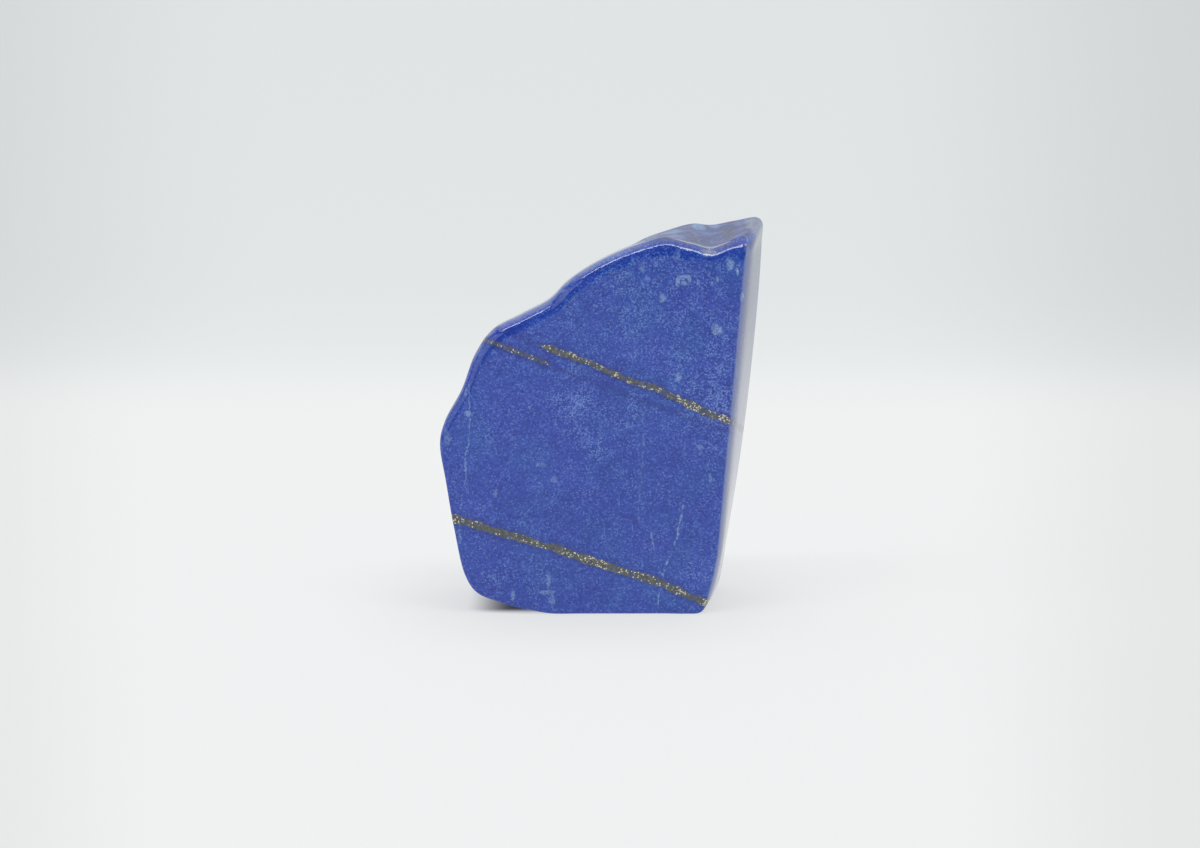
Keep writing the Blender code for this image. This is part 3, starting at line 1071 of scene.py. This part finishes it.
def boardMaterial():
    material = bpy.data.materials.new("paleBoardWithPaintedLight")
    material.use_nodes = True
    tree = material.node_tree
    shader = tree.nodes["Principled BSDF"]
    shader.inputs["Base Color"].default_value = (*studio["boardColour"], 1.0)
    shader.inputs["Roughness"].default_value = 0.9
    shader.inputs["Specular IOR Level"].default_value = 0.1
    shader.inputs["Emission Strength"].default_value = 1.0
    here = addNode(tree, "ShaderNodeTexCoord").outputs["Object"]
    place = axes(tree, here)
    # Painted light: the board's glow, dimmer and cooler towards the back, in a painted pool that falls off
    # to either side.
    back = step(tree, place["Y"], *studio["paintedGlowRamp"])
    paintedPool = studio["paintedPool"]
    distance = calc(tree, "MAXIMUM", calc(tree, "SUBTRACT", place["Y"], paintedPool["source"]), 0.3)
    aside = calc(tree, "SUBTRACT", calc(tree, "DIVIDE", place["X"], distance), paintedPool["middle"])
    aside = calc(tree, "ABSOLUTE", aside)
    dims = [times(tree, step(tree, aside, *paintedPool[part][:2]), paintedPool[part][2]) for part in ("front", "back")]
    poolFalloff = mulAdd(tree, back, calc(tree, "SUBTRACT", dims[1], dims[0]), dims[0])
    # Painted contact shadow under the stone, and a fainter painted shadow round it.
    paintedContactShadow, shade = studio["paintedContactShadow"], studio["shade"]
    beyond = vectorCalc(tree, "ABSOLUTE", vectorCalc(tree, "SUBTRACT", here, paintedContactShadow["middle"]))
    beyond = vectorCalc(tree, "MAXIMUM", vectorCalc(tree, "SUBTRACT", beyond, paintedContactShadow["half"]))
    gap = vectorCalc(tree, "LENGTH", vectorCalc(tree, "MULTIPLY", beyond, paintedContactShadow["nearer"]))
    contactShadowMask = times(tree, step(tree, gap, paintedContactShadow["edge"], 0.0), paintedContactShadow["depth"])
    around = vectorCalc(tree, "LENGTH", beyond)
    paintedShadowAround = times(tree, step(tree, around, shade["reach"], 0.0), shade["depth"])
    paintedGlow = blend(tree, back, studio["paintedGlowNear"], studio["paintedGlowFar"])
    for mask in (poolFalloff, most(tree, contactShadowMask, paintedShadowAround)):
        paintedGlow = blend(tree, mask, paintedGlow, (0.0, 0.0, 0.0))
    feed(tree, shader.inputs["Emission Color"], paintedGlow)
    return material


def sweepBoard():
    radius, end, bends = studio["sweepRadius"], studio["floorEnd"], 24
    profile = [(studio["frontEdge"], 0.0)]
    for turn in np.linspace(0.0, math.pi / 2, bends):
        profile.append((end + radius * math.sin(turn), radius * (1.0 - math.cos(turn))))
    profile.append((end + radius, studio["wallTop"]))
    half = studio["halfWidth"]
    corners = [(side * half, y, z) for y, z in profile for side in (-1, 1)]
    faces = [(2 * i, 2 * i + 1, 2 * i + 3, 2 * i + 2) for i in range(len(profile) - 1)]
    mesh = bpy.data.meshes.new("sweepBoard")
    mesh.from_pydata(corners, [], faces)
    mesh.shade_smooth()
    board = bpy.data.objects.new("sweepBoard", mesh)
    board.data.materials.append(boardMaterial())
    bpy.context.scene.collection.objects.link(board)


def aim(thing, target):
    thing.rotation_mode = "QUATERNION"
    thing.rotation_quaternion = (Vector(target) - thing.location).to_track_quat("-Z", "Y")


def addLight(name, middle, width, length, target, brightness):
    light = bpy.data.lights.new(name, "AREA")
    light.shape = "RECTANGLE"
    light.size, light.size_y = width, length
    light.energy = brightness * math.pi * width * length
    thing = bpy.data.objects.new(name, light)
    thing.location = middle
    aim(thing, target)
    thing.visible_camera = False
    bpy.context.scene.collection.objects.link(thing)


def roomWorld():
    world = bpy.data.worlds.new("room")
    world.use_nodes = True
    tree = world.node_tree
    background = tree.nodes["Background"]
    seen = addNode(tree, "ShaderNodeLightPath").outputs["Is Camera Ray"]
    feed(tree, background.inputs["Color"], blend(tree, seen, studio["roomLight"], studio["roomSeen"]))
    bpy.context.scene.world = world


def buildStudio():
    sweepBoard()
    for name, settings in studio["lights"].items():
        addLight(name, *settings)
    roomWorld()


# The camera stands in front, a little above the stone, and looks slightly down.
camera = {"place": (-0.94, -616.8, 160.0), "down": 10.13, "lens": 67.92}


def addCamera():
    data = bpy.data.cameras.new("camera")
    data.lens = camera["lens"]
    data.sensor_width = 36.0
    thing = bpy.data.objects.new("camera", data)
    thing.location = [value * mm for value in camera["place"]]
    thing.rotation_euler = (math.radians(90.0 - camera["down"]), 0.0, 0.0)
    bpy.context.scene.collection.objects.link(thing)
    bpy.context.scene.camera = thing


buildStudio()
addCamera()
bpy.context.scene.view_settings.view_transform = "Standard"
print("stage: studio and camera set")
